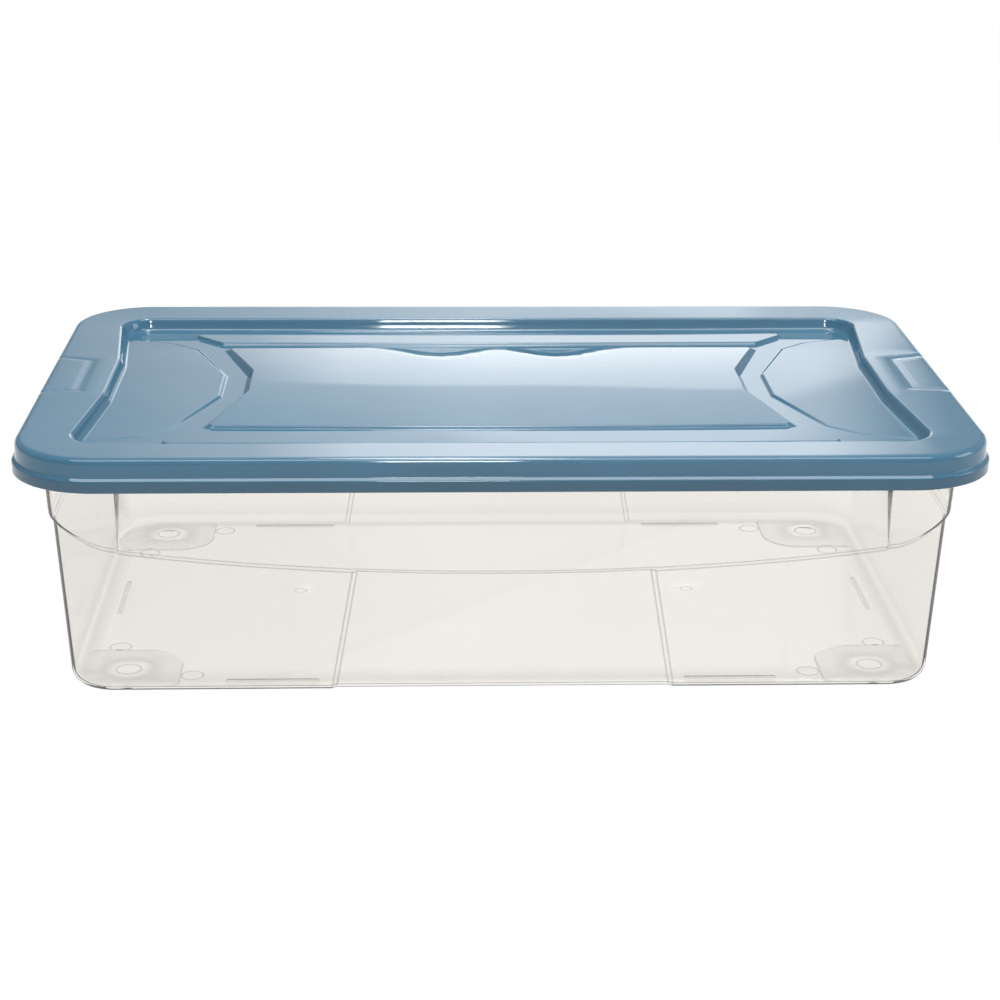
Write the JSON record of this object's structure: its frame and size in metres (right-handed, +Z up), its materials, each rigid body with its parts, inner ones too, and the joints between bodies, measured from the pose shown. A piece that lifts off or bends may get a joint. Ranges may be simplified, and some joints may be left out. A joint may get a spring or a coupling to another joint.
{
  "type": "under bed storage box",
  "caption": "Low clear plastic storage tub with rounded corners and end hand grips, and a press-on lid with a sunk panel that lifts off.",
  "frame": {"origin": "middle of the tub's flat underside", "axes": "+X along the box, +Y across it away from the viewer of the front wall, +Z up"},
  "size_m": [0.6092, 0.3776, 0.1651],
  "materials": {
    "clear_plastic": "clear, slightly warm and hazy polypropylene with a smooth surface",
    "blue_plastic": "opaque mid-blue polypropylene, glossy and slightly wavy"
  },
  "bodies": {
    "tub": {"tub": "clear_plastic"},
    "lid": {"lid": "blue_plastic"}
  },
  "joints": [
    {"name": "lid_lift", "type": "slide", "parent": "tub", "child": "lid", "axis": [0, 0, 1], "range_m": [0, 0.2]}
  ]
}
